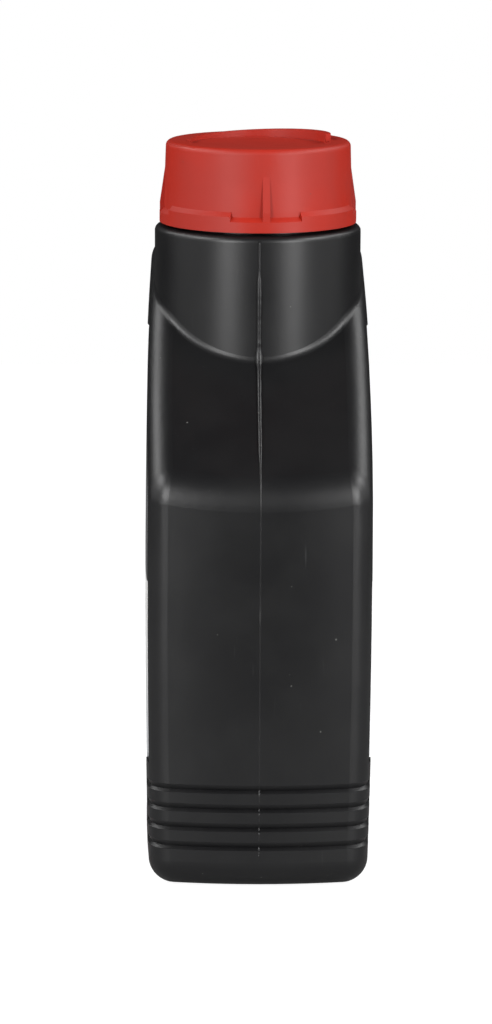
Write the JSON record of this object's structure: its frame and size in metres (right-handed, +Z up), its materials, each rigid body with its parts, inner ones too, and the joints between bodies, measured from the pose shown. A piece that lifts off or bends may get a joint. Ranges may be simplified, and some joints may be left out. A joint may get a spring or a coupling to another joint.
{
  "type": "motor oil bottle",
  "caption": "Flat black blow-moulded oil bottle with a sloping shoulder, an offset round neck, grip grooves near the base and a ribbed red screw cap that unscrews and lifts off",
  "frame": {"origin": "under the middle of the bottle's box, on the surface it stands on", "axes": "+Z up, X through the thin side, Y along the broad side with the neck towards +Y and the long sloping shoulder towards -Y"},
  "size_m": [0.0688, 0.108, 0.219],
  "materials": {
    "black_plastic": "satin",
    "red_plastic": "satin",
    "liner_foam": "matt",
    "label_film": "glossy film"
  },
  "bodies": {
    "bottle_body": {"bottle": "black_plastic", "front_label": "label_film", "back_label": "label_film"},
    "liner_body": {"cap_liner": "liner_foam"},
    "cap_body": {"cap": "red_plastic"}
  },
  "joints": [
    {"name": "cap_lift", "type": "slide", "parent": "bottle_body", "child": "liner_body", "axis": [0, 0, 1], "range_m": [0, 0.027]},
    {"name": "cap_turn", "type": "hinge", "parent": "liner_body", "child": "cap_body", "pos_m": [0, 0.02, 0.2], "axis": [0, 0, 1], "range_deg": [0, 1620]}
  ],
  "couplings": [
    {"joint": "cap_lift", "follows": "cap_turn", "m_per_rad": 0.00095493}
  ]
}
